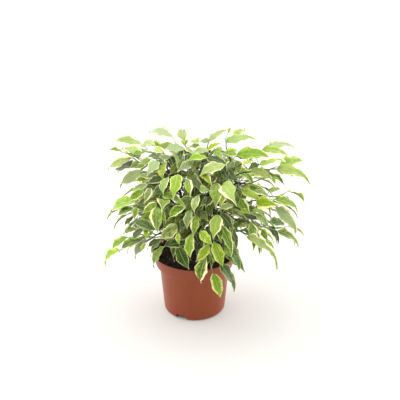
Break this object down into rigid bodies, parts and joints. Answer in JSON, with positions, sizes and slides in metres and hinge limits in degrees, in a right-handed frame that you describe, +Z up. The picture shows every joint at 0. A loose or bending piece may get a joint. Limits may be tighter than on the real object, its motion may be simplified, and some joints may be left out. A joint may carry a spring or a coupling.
{
  "type": "potted weeping fig",
  "caption": "Small variegated weeping fig with a dense drooping crown, growing in soil in a tapered plastic nursery pot.",
  "frame": {"origin": "middle of the pot's foot, on the surface that it stands on", "axes": "+Z up; -Y towards the side that the picture shows, with +X on its right"},
  "size_m": [0.2826, 0.2701, 0.2755],
  "materials": {
    "pot": "moulded polypropylene, terracotta coloured, satin",
    "soil": "potting soil: dark peat and bark with a few pale grains",
    "leafy_stem_left": "thin leathery leaves, grey green with a cream margin, young ones lime; brown woody stem",
    "leafy_stem_right": "thin leathery leaves, grey green with a cream margin, young ones lime; brown woody stem",
    "leafy_stem_front": "thin leathery leaves, grey green with a cream margin, young ones lime; brown woody stem",
    "leafy_stem_middle": "thin leathery leaves, grey green with a cream margin, young ones lime; brown woody stem",
    "leafy_stem_back": "thin leathery leaves, grey green with a cream margin, young ones lime; brown woody stem"
  },
  "bodies": {
    "root": {"pot": "pot", "soil": "soil", "leafy_stem_left": "leafy_stem_left", "leafy_stem_right": "leafy_stem_right", "leafy_stem_front": "leafy_stem_front", "leafy_stem_middle": "leafy_stem_middle", "leafy_stem_back": "leafy_stem_back"}
  },
  "joints": []
}
